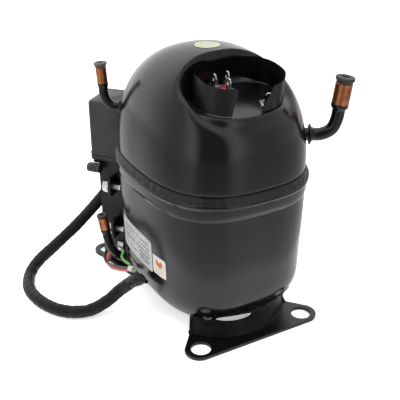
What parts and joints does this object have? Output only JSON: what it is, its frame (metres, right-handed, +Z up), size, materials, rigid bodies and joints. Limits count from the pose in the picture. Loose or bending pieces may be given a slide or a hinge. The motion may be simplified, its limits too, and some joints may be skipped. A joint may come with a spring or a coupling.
{
  "type": "hermetic reciprocating compressor",
  "caption": "Welded oval shell on two stamped feet, with three service tubes, a terminal fence, a start box and a sprung motor and pump inside.",
  "frame": {"origin": "middle of the object's box on the plane that its feet stand on, measured without the free leads", "axes": "+Z up along the crankshaft; +X along the shell's long axis towards the terminal fence; Y along the spacing of the two holes of a foot"},
  "size_m": [0.219, 0.2417, 0.2326],
  "materials": {
    "black_paint": "gloss",
    "bare_steel": "satin",
    "zinc_plate": "satin",
    "copper": "satin",
    "black_rubber": "matte",
    "black_plastic": "satin",
    "white_plastic": "satin",
    "seal_glass": "gloss",
    "label": "satin",
    "pale_sticker": "satin",
    "red_insulation": "satin",
    "green_insulation": "satin",
    "cast_iron": "matte",
    "lamination": "satin",
    "winding": "satin"
  },
  "bodies": {
    "shell": {"lower_shell": "black_paint", "upper_shell": "black_paint", "girth_weld": "black_paint", "front_foot": "black_paint", "rear_foot": "black_paint", "terminal_fence": "black_paint", "terminal_cup": "bare_steel", "terminal_glass": "seal_glass", "terminal_pin_1": "zinc_plate", "terminal_pin_2": "zinc_plate", "terminal_pin_3": "zinc_plate", "earth_tab": "zinc_plate", "suction_collar": "black_paint", "suction_tube": "copper", "discharge_tube": "copper", "process_tube": "copper", "rating_label": "label", "small_label": "white_plastic", "top_sticker": "pale_sticker", "box_bracket": "black_paint", "bracket_bolt_1": "zinc_plate", "bracket_bolt_2": "zinc_plate", "box_base": "black_plastic", "box_cover": "black_plastic", "start_capacitor": "black_plastic", "start_relay": "white_plastic", "cable_clamp": "black_plastic", "sleeve_gland": "black_plastic", "harness_sleeve": "black_rubber", "black_lead": "black_rubber", "red_lead": "red_insulation", "earth_lead": "green_insulation", "lead_splice": "white_plastic"},
    "pump": {"crankcase": "cast_iron", "cylinder_head": "cast_iron", "valve_plate": "bare_steel", "head_screw_1": "bare_steel", "head_screw_2": "bare_steel", "head_screw_3": "bare_steel", "head_screw_4": "bare_steel", "stator_core": "lamination", "lower_winding": "winding", "upper_winding": "winding", "suspension_spring_1": "bare_steel", "suspension_spring_2": "bare_steel", "suspension_spring_3": "bare_steel", "suspension_spring_4": "bare_steel", "suction_muffler": "white_plastic", "discharge_line": "copper"},
    "crank": {"crankshaft": "bare_steel", "rotor": "lamination", "oil_pickup": "bare_steel"},
    "rod": {"connecting_rod": "cast_iron", "wrist_pin": "bare_steel"},
    "piston": {"piston": "bare_steel"},
    "suction_reed": {"suction_reed": "bare_steel"},
    "discharge_reed": {"discharge_reed": "bare_steel"},
    "suction_plug": {"suction_plug": "black_rubber"},
    "discharge_plug": {"discharge_plug": "black_rubber"},
    "process_plug": {"process_plug": "black_rubber"}
  },
  "joints": [
    {"name": "pump_bounce", "type": "slide", "parent": "shell", "child": "pump", "axis": [0, 0, 1], "range_m": [-0.003, 0.003], "stiffness_N_per_m": 24000, "springref_m": 0.00226, "deforming": ["suspension_spring_1", "suspension_spring_2", "suspension_spring_3", "suspension_spring_4"]},
    {"name": "crank_spin", "type": "hinge", "parent": "pump", "child": "crank", "pos_m": [0.02206, -0.00449, 0.146], "axis": [0, 0, 1], "continuous": true},
    {"name": "rod_swing", "type": "hinge", "parent": "crank", "child": "rod", "pos_m": [0.01606, -0.00449, 0.146], "axis": [0, 0, 1], "continuous": true},
    {"name": "piston_stroke", "type": "slide", "parent": "pump", "child": "piston", "axis": [1, 0, 0], "range_m": [0, 0.012]},
    {"name": "suction_reed_lift", "type": "hinge", "parent": "pump", "child": "suction_reed", "pos_m": [0.08361, -0.01699, 0.146], "axis": [0, 0, 1], "range_deg": [0, 8], "stiffness_Nm_per_rad": 0.02},
    {"name": "discharge_reed_lift", "type": "hinge", "parent": "pump", "child": "discharge_reed", "pos_m": [0.08751, 0.00901, 0.146], "axis": [0, 0, 1], "range_deg": [0, 8], "stiffness_Nm_per_rad": 0.02},
    {"name": "suction_plug_pull", "type": "slide", "parent": "shell", "child": "suction_plug", "axis": [0.0595, 0.1091, 0.9922], "range_m": [0, 0.03]},
    {"name": "discharge_plug_pull", "type": "slide", "parent": "shell", "child": "discharge_plug", "axis": [-0.0356, -0.0594, 0.9976], "range_m": [0, 0.03]},
    {"name": "process_plug_pull", "type": "slide", "parent": "shell", "child": "process_plug", "axis": [-0.0823, -0.1317, 0.9879], "range_m": [0, 0.025]}
  ],
  "couplings": [
    {"joint": "rod_swing", "follows": "crank_spin", "ratio": -1}
  ]
}
